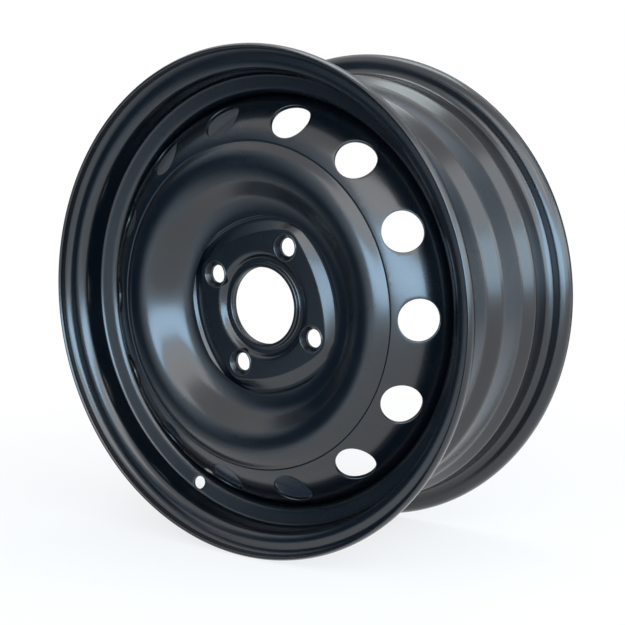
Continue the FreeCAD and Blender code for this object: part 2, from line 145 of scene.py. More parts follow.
class DiscSizes(bpy.types.PropertyGroup):
    """Sizes of the stamped disc."""

    sheet: length("Sheet", "Thickness of the disc", 0.0035)
    outside: length("Outside radius", "Radius of the flange where it meets the rim's well", 0.1702)
    offset: length("Wheel offset", "Distance of the hub face from the wheel's middle plane", 0.056)
    flange_length: length("Flange length", "Length of the flange up to its bend's corner", 0.0434)
    flange_bend: length("Flange bend", "Hollow bend radius of the curved vent band", 0.0443)
    band_width: length("Band width", "Radial width of the vent band", 0.0377)
    band_rise: length(
        "Band rise", "Rise of the vent band's inner tangent towards the crown", 0.0101
    )
    crease_run: length("Crease run", "Width of the crease's outer wall", 0.0014)
    crease_depth: length("Crease depth", "Depth of the crease below the vent band", 0.0008)
    crease_bend: length("Crease bend", "Bend radius of the crease's edges", 0.0008)
    crown_run: length("Crown run", "Radial run of the crown's outer slope", 0.019)
    crown_rise: length("Crown rise", "Rise of the crown's outer slope to its corner", 0.0125)
    crown_bend: length("Crown bend", "Hollow bend radius of the crown", 0.0185)
    bowl_depth: length("Bowl depth", "Depth of the bowl below the crown's corner", 0.0303)
    foot_bend: length("Bowl foot bend", "Hollow bend radius at the bowl's foot", 0.024)
    foot_radius: length("Bowl foot radius", "Radius of the bowl's foot", 0.084)
    groove_depth: length("Groove depth", "Depth of the groove round the mesa", 0.0022)
    groove_margin: length(
        "Groove margin", "Distance of the groove's sides from the bolt circle", 0.0167
    )
    groove_corner: length(
        "Groove corner", "How far the groove's corners stand out beyond its sides", 0.0072
    )
    groove_bend: length("Groove bend", "Radius of the groove's corners", 0.003)
    groove_run: length("Groove run", "Run of the groove's outer wall", 0.0017)
    mesa_height: length("Mesa height", "Height of the hub mesa over the groove", 0.0038)
    mesa_margin: length("Mesa margin", "Distance of the mesa's sides from the bolt circle", 0.0142)
    mesa_corner: length(
        "Mesa corner", "How far the foot's corners stand out beyond its sides", 0.0055
    )
    mesa_corner_bend: length("Mesa corner bend", "Radius of the foot's corners", 0.012)
    mesa_top_margin: length(
        "Mesa top margin", "Distance of the top's sides from the bolt circle", 0.0045
    )
    mesa_top_corner: length(
        "Mesa top corner", "How far the top's corners stand out beyond its sides", 0.0112
    )
    mesa_top_bend: length("Mesa top bend", "Radius of the top's corners", 0.014)
    mesa_edge: length("Mesa edge", "Rounding of the mesa's top edge", 0.003)
    groove_edge: length("Groove edge", "Rounding of the groove's upper edge", 0.0007)
    groove_back_edge: length("Groove back edge", "Rounding behind the groove's edge", 0.0006)
    groove_root: length("Groove root", "Rounding of the groove's bottom", 0.0005)
    groove_back_root: length("Groove back root", "Rounding behind the groove's bottom", 0.0012)
    mesa_root: length("Mesa root", "Rounding at the mesa's foot on both faces", 0.001)
    mesa_back_edge: length("Mesa back edge", "Rounding behind the mesa's top edge", 0.0006)
    mesa_flat: length("Mesa flat", "Flat between the mesa's top edge and the bolt seats", 0.0015)
    recess_inset: length("Recess inset", "Distance of the recess from the bolt circle", 0.0105)
    recess_run: length("Recess run", "Run of the recess wall", 0.0035)
    recess_bend: length("Recess bend", "Hollow bend radius of the recess", 0.0015)
    bore: length("Bore", "Diameter of the centre bore", 0.0634)
    collar_height: length(
        "Collar height", "Height of the bore's collar over the recess floor", 0.0033
    )
    collar_flat: length("Collar flat", "Flat between the bolt seats and the collar", 0.0028)
    collar_bend: length("Collar bend", "Hollow bend radius at the collar's foot", 0.001)
    bore_edge: length("Bore rounding", "Rounding of the bore's rear edge", 0.001)
    edge: length("Edge rounding", "Rounding of the sheet's cut edges", 0.0008)
    vent_count: IntProperty(name="Vents", description="Number of vent holes", default=14)
    vent: length("Vent", "Diameter of a vent hole", 0.0325)
    vent_inset: length("Vent inset", "Radial distance of the vents from the flange", 0.017)
    vent_edge: length("Vent rounding", "Rounding of the vents' edges", 0.0006)
    bolt_count: IntProperty(name="Bolts", description="Number of bolt seats", default=4)
    bolt_circle: length("Bolt circle", "Diameter of the bolt circle", 0.108)
    bolt_hole: length("Bolt hole", "Diameter of a bolt hole", 0.015)
    seat_mouth: length("Seat mouth", "Diameter of a conical seat's mouth", 0.0205)
    seat_slope: degrees("Seat slope", "Angle of a seat to the bolt's axis", 30.0)
    boss_height: length("Boss height", "Height of a bolt seat over the mesa", 0.0005)
    boss_rim: length("Boss rim", "Width of the flat round a seat's mouth", 0.0012)
    boss_flare: length("Boss flare", "How far a boss widens towards its foot", 0.002)
    boss_clearance: length("Boss clearance", "Distance of a boss's back from the hub face", 0.0003)
    boss_edge: length("Boss rounding", "Rounding of a boss's mouth, throat and foot", 0.0005)
    boss_back_edge: length("Boss back rounding", "Rounding of a boss's back edges", 0.0003)
    boss_shoulder: length("Boss shoulder", "Rounding of the flat's outer edge", 0.001)


class WeldSizes(bpy.types.PropertyGroup):
    """Sizes of the weld beads."""

    count: IntProperty(name="Beads", description="Number of weld beads", default=8)
    span: degrees("Span", "Angle that a bead covers", 30.0)
    leg: length("Leg", "Length of a bead's legs on rim and disc", 0.0034)
    ripple: length("Ripple", "Depth of the ripples along a bead", 0.00022)
    pitch: length("Pitch", "Distance between two ripples", 0.0021)
    fall: amount("Fall", "Share of a bead's half length over which its end falls", 0.06)
    bulge: amount("Bulge", "Bulge of a bead's face as a share of its leg", 0.12)
    fit: amount("Fit", "Share of the leg that keeps a bead off rim and disc", 0.9603)
    sharp: degrees("Sharp edges", "Angle past which a bead's edges are sharp", 60.0)


class PaintLook(bpy.types.PropertyGroup):
    """Values of the black paint."""

    base: colour("Colour", "Colour of the paint", (0.0012, 0.0026, 0.0045))
    dust: colour("Dust colour", "Colour of the thin dust film", (0.20, 0.20, 0.19))
    dust_amount: amount("Dust amount", "Cover of the dust film", 0.006)
    roughness: amount("Roughness", "Roughness of the paint", 0.27)
    roughness_swing: amount("Roughness swing", "Change of roughness over the surface", 0.06)
    coat: amount("Coat", "Weight of the clear top film", 0.6)
    coat_roughness: amount("Coat roughness", "Roughness of the clear top film", 0.19)
    peel_size: length("Peel size", "Size of the paint's fine waves", 0.0035)
    peel_height: length("Peel height", "Height of the paint's fine waves", 0.00001)


class StageLook(bpy.types.PropertyGroup):
    """Values of floor, screen, lamps and camera."""

    valve_angle: degrees(
        "Valve angle", "Angle of the valve hole about the axle, from +X towards +Z", 244.15
    )
    floor_level: length("Floor level", "Height of the floor", -0.20745)
    floor_reach: length("Floor reach", "Distance of the floor's edges from the wheel", 6.0)
    shadow: amount("Shadow", "Share of the wheel's shadow that the floor shows", 0.25)
    lamp_distance: length("Lamp distance", "Distance of the lamps from the wheel", 2.2)
    screen_radius: length("Screen radius", "Distance of the dark screen from the wheel", 1.9)
    screen_inner: length(
        "Screen inner edge", "Distance of the screen's edge on the floor from the wheel", 0.25
    )
    screen_height: length("Screen height", "Height of the dark screen's top edge", 1.6)
    screen_start: degrees("Screen start", "Azimuth of one end of the screen", -4.0)
    screen_end: degrees("Screen end", "Azimuth of the screen's other end", -228.0)
    screen_start_fade: amount("Start fade", "Share of the screen that fades at its start", 0.17)
    screen_end_fade: amount("End fade", "Share of the screen that fades at its end", 0.12)
    screen_lift: length("Screen lift", "Height of the screen's foot over the floor", 0.001)
    screen_colour: colour("Screen colour", "Colour of the dark screen", (0.022, 0.033, 0.052))
    camera_place: FloatVectorProperty(
        name="Camera place",
        description="Place of the camera",
        default=(0.65828, -0.92794, 0.13049),
        subtype="XYZ",
    )
    camera_turn: FloatVectorProperty(
        name="Camera turn",
        description="Turn of the camera",
        default=(1.38958, 0.00326, 0.59149),
        subtype="EULER",
    )
    lens: FloatProperty(name="Lens", description="Focal length in millimetres", default=76.885)
    shift: FloatVectorProperty(
        name="Shift", description="Shift of the lens", default=(-0.044, 0.1208), size=2
    )


def rounded_outline(corners, radii, steps, runs):
    """Rows of a closed outline whose corners are arcs.

    corners has the radius and level of each corner at every column. An arc touches both
    runs at its radius times the tangent of half the turn, and is sampled evenly in
    angle; each run is then split evenly. Returns the rows and the first row of each arc.
    """
    before = corners - np.roll(corners, 1, axis=0)
    before /= np.linalg.norm(before, axis=-1, keepdims=True)
    after = np.roll(before, -1, axis=0)
    across = np.stack([-before[..., 1], before[..., 0]], axis=-1)
    turn = np.arctan2((after * across).sum(-1), (after * before).sum(-1))
    arcs = []
    for k in range(len(corners)):
        swing = np.abs(turn[k])
        part = np.linspace(0.0, 1.0, steps[k] + 1)[:, None] * swing
        start = corners[k] - before[k] * (radii[k] * np.tan(swing / 2))[:, None]
        inward = across[k] * np.sign(turn[k])[:, None]
        onward = np.sin(part)[..., None] * before[k]
        aside = (1 - np.cos(part))[..., None] * inward
        arcs.append(start + radii[k] * (onward + aside))
    rows = []
    starts = []
    count = 0
    for k, arc in enumerate(arcs):
        starts.append(count)
        share = np.linspace(0.0, 1.0, runs[k] + 1)[1:-1, None, None]
        run = arc[-1] * (1 - share) + arcs[(k + 1) % len(arcs)][0] * share
        rows += [arc, run]
        count += len(arc) + len(run)
    return np.concatenate(rows), starts


def second_face(corners, sheet, side):
    """Corners of a strip's second face, at the sheet's distance on the left (1) or right (-1).

    Each corner moves along the sum of its two runs' normals, divided by one plus the
    product of the normals, so that both runs keep their distance.
    """
    along = np.diff(corners, axis=0)
    along /= np.linalg.norm(along, axis=-1, keepdims=True)
    normal = np.stack([-along[..., 1], along[..., 0]], axis=-1) * side
    first = np.concatenate([normal[:1], normal])
    last = np.concatenate([normal, normal[-1:]])
    return corners + sheet * (first + last) / (1 + (first * last).sum(-1, keepdims=True))


def hollow_radii(corners, bends, sheet, side):
    """Bend radii on a strip's two faces, from the radius on the hollow side of each corner."""
    along = np.diff(corners, axis=0)
    turn = along[:-1, :, 0] * along[1:, :, 1] - along[:-1, :, 1] * along[1:, :, 0]
    hollow_on_second = np.concatenate([[False], (turn[:, 0] > 0) == (side > 0), [False]])
    bends = np.asarray(bends, float)
    first = np.where(hollow_on_second, bends + sheet, bends)
    second = np.where(hollow_on_second, bends, bends + sheet)
    return first, second


def closed_strip(corners, first, second, sheet, side, steps, runs):
    """A strip's closed outline: the first face, an edge, the second face backwards, an edge."""
    back = second_face(corners, sheet, side)
    outline = np.concatenate([corners, back[::-1]])
    radii = np.concatenate([first, second[::-1]])
    all_runs = list(runs) + [1] + list(runs)[::-1] + [1]
    return rounded_outline(outline, radii, list(steps) + list(steps)[::-1], all_runs)


def around_axle(rows, angles):
    """Points of rows of radius and level, turned about the axle (Y) to the given angles."""
    radius, level = rows[..., 0], rows[..., 1]
    return np.stack([radius * np.cos(angles), level, radius * np.sin(angles)], axis=-1)


def grid_faces(rows, columns, wrap_rows, wrap_columns):
    """Corner numbers of the four-sided faces of a grid of points."""
    r = np.arange(rows if wrap_rows else rows - 1)[:, None]
    c = np.arange(columns if wrap_columns else columns - 1)[None, :]
    here = r * columns
    below = (r + 1) % rows * columns
    beside = (c + 1) % columns
    return np.stack([here + c, here + beside, below + beside, below + c], axis=-1)


def border_numbers(columns, last):
    """Column and row numbers of the points round a block's border, in order."""
    i = np.concatenate([
        np.arange(columns), np.full(last, columns), np.arange(columns, 0, -1), np.zeros(last, int),
    ])
    j = np.concatenate([
        np.zeros(columns, int), np.arange(last), np.full(columns, last), np.arange(last, 0, -1),
    ])
    return i, j


def along_path(path, distance):
    """Radius and level at a distance along a path of points."""
    knots = np.concatenate([[0.0], np.cumsum(np.linalg.norm(np.diff(path, axis=0), axis=1))])
    return np.interp(distance, knots, path[:, 0]), np.interp(distance, knots, path[:, 1]), knots


def hole_edge(path, centre, along, radius, around):
    """Turn about the axle and distance along the path of the edge of a round hole.

    The hole's axis goes through the centre, square to the along direction. At the angle
    around, the edge lies radius times the cosine across and radius times the sine
    onward; the distance grows by what is missing until both are met.
    """
    across = radius * np.cos(around)
    onward = radius * np.sin(around)
    knots = along_path(path, 0.0)[2]
    distance = knots[np.argmin(np.linalg.norm(path - centre, axis=1))] + onward
    for _ in range(EDGE_ROUNDS):
        r, level, knots = along_path(path, distance)
        turn = np.arcsin(across / r)
        reached = (r * np.cos(turn) - centre[0]) * along[0] + (level - centre[1]) * along[1]
        distance = distance + onward - reached
    return turn, distance


def holed_block(path, back_path, columns, centre, along, radius, rounding, rings):
    """Front face, wall and back face of one round hole in a block of a turned strip.

    The block spans the path and an even number of columns. Rings run in straight lines of
    turn and distance from the block's border to the hole's edge; the wall joins the edges
    of both faces, each rounded by a quarter circle. Returns grids of radius, level and turn.
    """
    i, j = border_numbers(columns, len(path) - 1)
    border_turn = (i - columns / 2) * 2 * math.pi / COLUMNS
    knots = along_path(path, 0.0)[2]
    middle = np.interp(0.0, (path - centre) @ along, knots)
    around = np.arctan2(knots[j] - middle, border_turn * centre[0])
    inward = np.array([-along[1], along[0]])
    inward *= np.sign((back_path[0] - path[0]) @ inward)
    share = np.linspace(0.0, 1.0, rings + 1)[:, None]
    quarter = np.linspace(0.0, math.pi / 2, EDGE_STEPS + 1)
    grids = []
    walls = []
    for face, side in ((path, 1.0), (back_path, -1.0)):
        face_knots = along_path(face, 0.0)[2]
        turn, distance = hole_edge(face, centre, along, radius + rounding, around)
        rings_turn = border_turn * (1 - share) + turn * share
        r, level, _ = along_path(face, face_knots[j] * (1 - share) + distance * share)
        grids.append((r, level, rings_turn))
        loops = []
        for bend in quarter:
            edge = radius + rounding * (1 - math.sin(bend))
            turn, distance = hole_edge(face, centre, along, edge, around)
            r, level, _ = along_path(face, distance)
            depth = side * rounding * (1 - math.cos(bend))
            loops.append((r + inward[0] * depth, level + inward[1] * depth, turn))
        walls.append(loops)
    wall = walls[0] + walls[1][::-1]
    grids.append(tuple(np.stack([loop[k] for loop in wall]) for k in range(3)))
    return grids


def punched_block(block, turns, profile, centre, radius, rings):
    """Rings from the border of a block of rows to a round hole along the axle.

    Seen along the axle, the rings are straight mixes of the border and a circle about
    the centre, both at the same angle about it. The level is that of the profile at the
    ring's distance from the axle. Returns grids of radius, level and turn.
    """
    i, j = border_numbers(len(turns) - 1, len(block) - 1)
    border = block[j, i, 0] * np.array([np.cos(turns[i]), np.sin(turns[i])])
    around = np.arctan2(border[1], border[0] - centre)
    edge = np.array([centre + radius * np.cos(around), radius * np.sin(around)])
    share = np.linspace(0.0, 1.0, rings + 1)[:, None, None]
    flat = border * (1 - share) + edge * share
    distance = np.hypot(flat[:, 0], flat[:, 1])
    order = np.argsort(profile[:, 0])
    level = np.interp(distance, profile[order, 0], profile[order, 1])
    return distance, level, np.arctan2(flat[:, 1], flat[:, 0])


def place_object(name, data):
    """A new object in the scene."""
    made = bpy.data.objects.new(name, data)
    bpy.context.scene.collection.objects.link(made)
    return made


class Surface:
    """Points and four-sided faces gathered from several grids."""

    def __init__(self):
        self.points = []
        self.faces = []
        self.count = 0

    def add(self, grid, wrap_rows=False, wrap_columns=False, keep=None):
        """Add a grid of points; keep marks the faces that stay."""
        faces = grid_faces(grid.shape[0], grid.shape[1], wrap_rows, wrap_columns)
        faces = faces.reshape(-1, 4) if keep is None else faces[keep]
        self.points.append(grid.reshape(-1, 3))
        self.faces.append(faces + self.count)
        self.count += grid.shape[0] * grid.shape[1]

    def add_rings(self, grids, at):
        """Add grids of radius, level and turn, turned on about the axle to an angle."""
        for r, level, turn in grids:
            self.add(around_axle(np.stack([r, level], -1), at + turn), False, True)

    def make(self, name, material, sharp=math.radians(38.0)):
        """A smooth shaded object with joined seams and outward faces."""
        mesh = bpy.data.meshes.new(name)
        mesh.from_pydata(np.concatenate(self.points), [], np.concatenate(self.faces))
        work = bmesh.new()
        work.from_mesh(mesh)
        bmesh.ops.remove_doubles(work, verts=work.verts, dist=JOIN_DISTANCE)
        bmesh.ops.recalc_face_normals(work, faces=work.faces)
        work.to_mesh(mesh)
        work.free()
        mesh.shade_smooth()
        mesh.set_sharp_from_angle(angle=sharp)
        mesh.materials.append(material)
        return place_object(name, mesh)


def rim_corners(s):
    """Corners of the rim on the tyre side from the outboard to the inboard lip, and their bends."""
    half = s.width / 2
    bead = s.diameter / 2
    top = bead + s.flange_height
    well = bead - s.well_depth
    lip = half + s.curl_bend + s.sheet + s.lip_flat + (s.lip_bend + s.sheet) * math.tan(math.pi / 8)
    seat = bead - s.seat_drop
    seat_end = half - s.seat_width
    hump = seat_end - s.hump_width
    well_start = -hump + s.shoulder_run
    well_end = well_start + s.well_width
    ledge = well + s.ledge_rise

    def flange(sign):
        return [
            (top - s.lip_reach, (lip + s.lip_reach) * sign, 0.0),
            (top, lip * sign, s.lip_bend),
            (top, half * sign, s.curl_bend),
            (bead, half * sign, s.root_bend),
            (seat, seat_end * sign, s.hump_bend),
            (seat + s.hump_height, hump * sign, s.hump_bend),
        ]

    places = flange(-1) + [
        (well, well_start, s.well_bend),
        (well, well_end, s.ledge_bend),
        (ledge, well_end + s.ledge_run, s.ledge_bend),
        (ledge + s.ledge_climb, hump - s.step_run, s.step_bend),
    ] + flange(1)[::-1]
    return np.array(places)


def make_rim(s, valve_angle, material):
    """The rolled rim: one strip turned about the axle, with the valve hole in its shoulder."""
    places = rim_corners(s)
    angles = valve_angle + np.arange(COLUMNS) * 2 * math.pi / COLUMNS
    corners = np.repeat(places[:, None, :2], COLUMNS, axis=1)
    first, second = hollow_radii(corners, places[:, 2], s.sheet, 1)
    first[[0, -1]] = s.edge
    second[[0, -1]] = s.edge
    steps = [4, 10, 14, 12, 6, 6, 10, 9, 9, 8, 6, 6, 12, 14, 10, 4]
    runs = [1, 1, 2, 4, 2, 8, 6, 3, 4, 3, 2, 4, 2, 1, 1]
    rows, starts = closed_strip(corners, first, second, s.sheet, 1, steps, runs)
    mirror = 2 * len(places) - 1
    top = starts[RIM_HUMP]
    foot = starts[RIM_WELL] + steps[RIM_WELL]
    back_foot = starts[mirror - RIM_WELL]
    back_top = starts[mirror - RIM_HUMP] + steps[RIM_HUMP]
    path = rows[top:foot + 1, 0]
    back_path = rows[back_foot:back_top + 1, 0][::-1]
    keep = np.ones((len(rows), COLUMNS), bool)
    cut = np.arange(-VALVE_COLUMNS // 2, VALVE_COLUMNS // 2) % COLUMNS
    keep[top:foot, cut] = False
    keep[back_foot:back_top, cut] = False
    surface = Surface()
    surface.add(around_axle(rows, angles), True, True, keep)
    shoulder = places[RIM_WELL, :2] - places[RIM_HUMP, :2]
    centre = places[RIM_HUMP, :2] + shoulder * s.valve_share
    along = shoulder / np.linalg.norm(shoulder)
    grids = holed_block(
        path, back_path, VALVE_COLUMNS, centre, along, s.valve_hole / 2, s.valve_edge, VALVE_RINGS
    )
    surface.add_rings(grids, valve_angle)
    return surface.make("rim_look", material)


def bulging_square(angle, middle, corner, bend):
    """Distance from the axle to a square with bulging sides and rounded corners.

    The sides are arcs about points beyond the axle, the corners arcs that touch two
    sides; angle is measured from a corner, and the distance is that of the ray's crossing.
    """
    pull = (corner ** 2 - middle ** 2) / (2 * middle - corner * math.sqrt(2))
    side = middle + pull
    lean = pull / math.sqrt(2)
    place = math.sqrt((side - bend) ** 2 - lean ** 2) - lean
    swing = math.atan2(lean, place + lean)
    limit = math.atan2(bend * math.sin(swing), place + bend * math.cos(swing))
    fold = (angle + math.pi / 4) % (math.pi / 2) - math.pi / 4
    inside = np.maximum(bend ** 2 - (place * np.sin(fold)) ** 2, 0)
    on_corner = place * np.cos(fold) + np.sqrt(inside)
    rest = math.pi / 4 - np.abs(fold)
    on_side = np.sqrt(side ** 2 - (pull * np.sin(rest)) ** 2) - pull * np.cos(rest)
    return np.where(np.abs(fold) < limit, on_corner, on_side)


def disc_levels(s):
    """Levels of the hub's floor and plateau, the crown's corner, the crease and the bend."""
    floor = -s.offset - s.sheet
    crown = floor - s.groove_depth - s.bowl_depth
    crease = crown + s.crown_rise
    return floor, floor - s.mesa_height, crown, crease, crease + s.band_rise


def disc_corners(s, angles):
    """Corners of the disc's front from the flange's edge to the collar's, at every column."""
    floor, plateau, crown, crease, bend = disc_levels(s)
    crease_radius = s.outside - s.band_width
    bolt = s.bolt_circle / 2
    groove = bolt + s.groove_margin
    groove = bulging_square(angles, groove, groove + s.groove_corner, s.groove_bend)
    foot = bolt + s.mesa_margin
    top = bolt + s.mesa_top_margin
    recess = bolt - s.recess_inset
    collar = s.bore / 2 + s.sheet
    places = [
        (s.outside, bend + s.flange_length),
        (s.outside, bend),
        (crease_radius + s.crease_run, crease + s.crease_run * s.band_rise / s.band_width),
        (crease_radius, crease + s.crease_depth),
        (crease_radius - s.crown_run, crown),
        (s.foot_radius, floor - s.groove_depth),
        (groove + s.groove_run, floor - s.groove_depth),
        (groove, floor),
        (bulging_square(angles, foot, foot + s.mesa_corner, s.mesa_corner_bend), floor),
        (bulging_square(angles, top, top + s.mesa_top_corner, s.mesa_top_bend), plateau),
        (top - s.mesa_flat, plateau),
        (recess, plateau),
        (recess - s.recess_run, floor),
        (collar + s.collar_flat, floor),
        (collar, floor),
        (collar, floor - s.collar_height),
    ]
    ones = np.ones(len(angles))
    return np.stack([np.stack([radius * ones, level * ones], -1) for radius, level in places])


def bolt_boss(s):
    """Closed rows of a bolt seat about its own axis: cone, hole, back and flared outside."""
    floor, plateau = disc_levels(s)[:2]
    hole = s.bolt_hole / 2
    mouth = s.seat_mouth / 2
    top = plateau - s.boss_height
    back = -s.offset - s.boss_clearance
    corners = np.array([
        (mouth, top),
        (hole, top + (mouth - hole) / math.tan(s.seat_slope)),
        (hole, back),
        (mouth + s.boss_rim + s.boss_flare, back),
        (mouth + s.boss_rim + s.boss_flare, floor),
        (mouth + s.boss_rim, top),
    ])
    radii = [
        s.boss_edge, s.boss_edge, s.boss_back_edge, s.boss_back_edge, s.boss_edge, s.boss_shoulder,
    ]
    steps = [5, 5, 4, 4, 5, 6]
    runs = [3, 2, 3, 2, 3, 1]
    return rounded_outline(corners[:, None, :], radii, steps, runs)[0]


def make_disc(s, valve_angle, material):
    """The stamped disc: one strip turned about the axle, with vents, hub mesa and bolt seats."""
    columns = np.arange(COLUMNS)
    pitch = 2 * math.pi / COLUMNS
    corners = disc_corners(s, columns * pitch)
    bends = np.zeros(len(corners))
    bends[[FLANGE_BEND, CROWN, BOWL_FOOT]] = s.flange_bend, s.crown_bend, s.foot_bend
    bends[[RECESS, RECESS_FLOOR, COLLAR]] = s.recess_bend, s.recess_bend, s.collar_bend
    first, second = hollow_radii(corners, bends, s.sheet, -1)
    for radii in (first, second):
        radii[[FLANGE_EDGE, COLLAR_EDGE]] = s.edge
        radii[[CREASE_EDGE, CREASE]] = s.crease_bend
        radii[MESA_FOOT] = s.mesa_root
        radii[[SEAT_ROW, COLLAR_ROW]] = 0.0
    first[[GROOVE_EDGE, GROOVE, MESA_TOP]] = s.groove_edge, s.groove_root, s.mesa_edge
    second[[GROOVE_EDGE, GROOVE]] = s.groove_back_edge, s.groove_back_root
    second[[MESA_TOP, COLLAR]] = s.mesa_back_edge, s.bore_edge
    steps = [3, 28, 4, 4, 22, 16, 5, 4, 4, 6, 0, 7, 6, 0, 7, 3]
    runs = [3, 2, 2, 2, 5, 3, 2, 2, 4, 2, 5, 3, 2, 2, 2]
    rows, starts = closed_strip(corners, first, second, s.sheet, -1, steps, runs)
    mirror = 2 * len(steps) - 1
    angles = valve_angle + columns * pitch
    keep = np.ones((len(rows), COLUMNS), bool)
    surface = Surface()

    def block(near, far, near_skip):
        """Rows of a block between two corners on the front, and their matches on the back."""
        start = starts[near] + near_skip
        end = starts[far]
        back_start = starts[mirror - near] + steps[near] - near_skip
        back_end = starts[mirror - far] + steps[far]
        return start, end, back_end, back_start

    # Vent band: one block for each vent, past the first quarter of the bend
    start, end, back_end, back_start = block(FLANGE_BEND, CREASE_EDGE, steps[FLANGE_BEND] // 4)
    keep[start:end] = False
    keep[back_end:back_start] = False
    path = rows[start:end + 1, 0]
    back_path = rows[back_end:back_start + 1, 0][::-1]
    wide = COLUMNS // s.vent_count
    bend = s.flange_bend + s.sheet
    sine = (bend - s.vent_inset) / bend
    cosine = math.sqrt(1 - sine ** 2)
    slope = math.atan2(s.band_rise, s.band_width)
    bend_start = corners[FLANGE_BEND, 0, 1] + bend * math.tan((math.pi / 2 - slope) / 2)
    centre = np.array([s.outside - s.vent_inset, bend_start - bend * cosine])
    along = np.array([-cosine, -sine])
    grids = holed_block(
        path, back_path, wide, centre, along, s.vent / 2, s.vent_edge, VENT_RINGS
    )
    for vent in range(s.vent_count):
        surface.add_rings(grids, valve_angle + (vent + 0.5) * wide * pitch)

    # Hub: one block for each bolt seat, with a turned boss in its hole
    start, end, back_end, back_start = block(MESA_TOP, COLLAR_ROW, steps[MESA_TOP])
    half = BOLT_HALF_COLUMNS
    local = np.arange(-half, half + 1)
    centre = s.bolt_circle / 2
    inside = s.seat_mouth / 2 + s.boss_rim / 3
    front = rows[start:end + 1][:, local]
    back = rows[back_end:back_start + 1][::-1][:, local]
    grids = [
        punched_block(part, local * pitch, part[:, half], centre, inside, BOLT_RINGS)
        for part in (front, back)
    ]
    grids.append(tuple(np.stack([grids[0][k][-1], grids[1][k][-1]]) for k in range(3)))
    boss = bolt_boss(s)
    spin = np.arange(BOSS_COLUMNS) * 2 * math.pi / BOSS_COLUMNS
    for bolt in range(s.bolt_count):
        middle = bolt * COLUMNS // s.bolt_count
        cut = np.arange(middle - half, middle + half) % COLUMNS
        keep[start:end, cut] = False
        keep[back_end:back_start, cut] = False
        at = valve_angle + middle * pitch
        surface.add_rings(grids, at)
        ring = around_axle(np.repeat(boss, len(spin), axis=1), spin)
        ring = ring + np.array([math.cos(at), 0.0, math.sin(at)]) * s.bolt_circle / 2
        surface.add(ring, True, True)

    surface.add(around_axle(rows, angles), True, True, keep)
    return surface.make("disc_look", material)


def make_welds(s, disc, material):
    """Weld beads in the corner between the disc's flange edge and the rim's well.

    Around a bead's section runs a rounded triangle; along the bead its size swells in
    ripples and falls to nothing at both ends along a quarter circle.
    """
    corner = disc.outside
    level = disc_levels(disc)[-1] + disc.flange_length
    path = np.linspace(0.0, 1.0, BEAD_ROWS)[:, None]
    around = np.linspace(0.0, 1.0, BEAD_COLUMNS, endpoint=False)[None, :]
    turns = s.span * corner / s.pitch
    past = (np.abs(2 * path - 1) - 1 + s.fall).clip(0) / s.fall
    end = np.sqrt(np.clip(1 - past ** 2, 0.0, 1.0))
    scale = end * (s.leg - s.ripple * np.abs(np.sin(math.pi * turns * path))) * s.fit
    side = around * 3
    leg = np.clip(np.minimum(side, 3 - side), 0.0, 1.0)
    face = np.clip(side - 1, 0.0, 1.0)
    swell = 1 + s.bulge * np.sin(math.pi * face) * (side > 1) * (side < 2)
    inner = np.where(side < 1, leg, np.where(side < 2, 1 - face, 0.0)) * swell
    outer = np.where(side < 1, 0.0, np.where(side < 2, face, leg)) * swell
    surface = Surface()
    for number in range(s.count):
        angles = -2 * math.pi * number / s.count - s.span * path + 0 * around
        rows = np.stack([corner - inner * scale, level + outer * scale], axis=-1)
        surface.add(around_axle(rows, angles), False, True)
    return surface.make("weld_look", material, s.sharp)


def socket(group, name, kind, direction, default=None):
    """Add a named socket to a node group's interface."""
    made = group.interface.new_socket(name=name, in_out=direction, socket_type=kind)
    if default is not None:
        made.default_value = default


def node(tree, kind, feeds, **settings):
    """A new node with its settings; a socket feeds an input, and any other value stays in it."""
    made = tree.nodes.new(kind)
    for name, value in settings.items():
        setattr(made, name, value)
    for name, feed in feeds.items():
        if isinstance(feed, bpy.types.NodeSocket):
            tree.links.new(feed, made.inputs[name])
        else:
            made.inputs[name].default_value = feed
    return made


def paint_waves():
    """A node group: fine waves and slow changes of a sprayed film, from object coordinates."""
    group = bpy.data.node_groups.new("Paint waves", "ShaderNodeTree")
    socket(group, "Size", "NodeSocketFloat", "INPUT", 0.0035)
    socket(group, "Roughness", "NodeSocketFloat", "INPUT", 0.27)
    socket(group, "Swing", "NodeSocketFloat", "INPUT", 0.06)
    socket(group, "Height", "NodeSocketFloat", "OUTPUT")
    socket(group, "Roughness", "NodeSocketFloat", "OUTPUT")
    enter = group.nodes.new("NodeGroupInput").outputs
    place = group.nodes.new("ShaderNodeTexCoord").outputs["Object"]
    scale = node(group, "ShaderNodeMath", {0: 1.0, 1: enter["Size"]}, operation="DIVIDE")
    waves = node(
        group, "ShaderNodeTexNoise", {"Vector": place, "Scale": scale.outputs[0], "Detail": 1.5}
    )
    slow = node(group, "ShaderNodeTexNoise", {"Vector": place, "Scale": 14.0, "Detail": 3.0})
    centred = node(group, "ShaderNodeMath", {0: slow.outputs["Fac"], 1: 0.5}, operation="SUBTRACT")
    swing = node(
        group, "ShaderNodeMath",
        {0: centred.outputs[0], 1: enter["Swing"], 2: enter["Roughness"]},
        operation="MULTIPLY_ADD",
    )
    node(group, "NodeGroupOutput", {"Height": waves.outputs["Fac"], "Roughness": swing.outputs[0]})
    return group


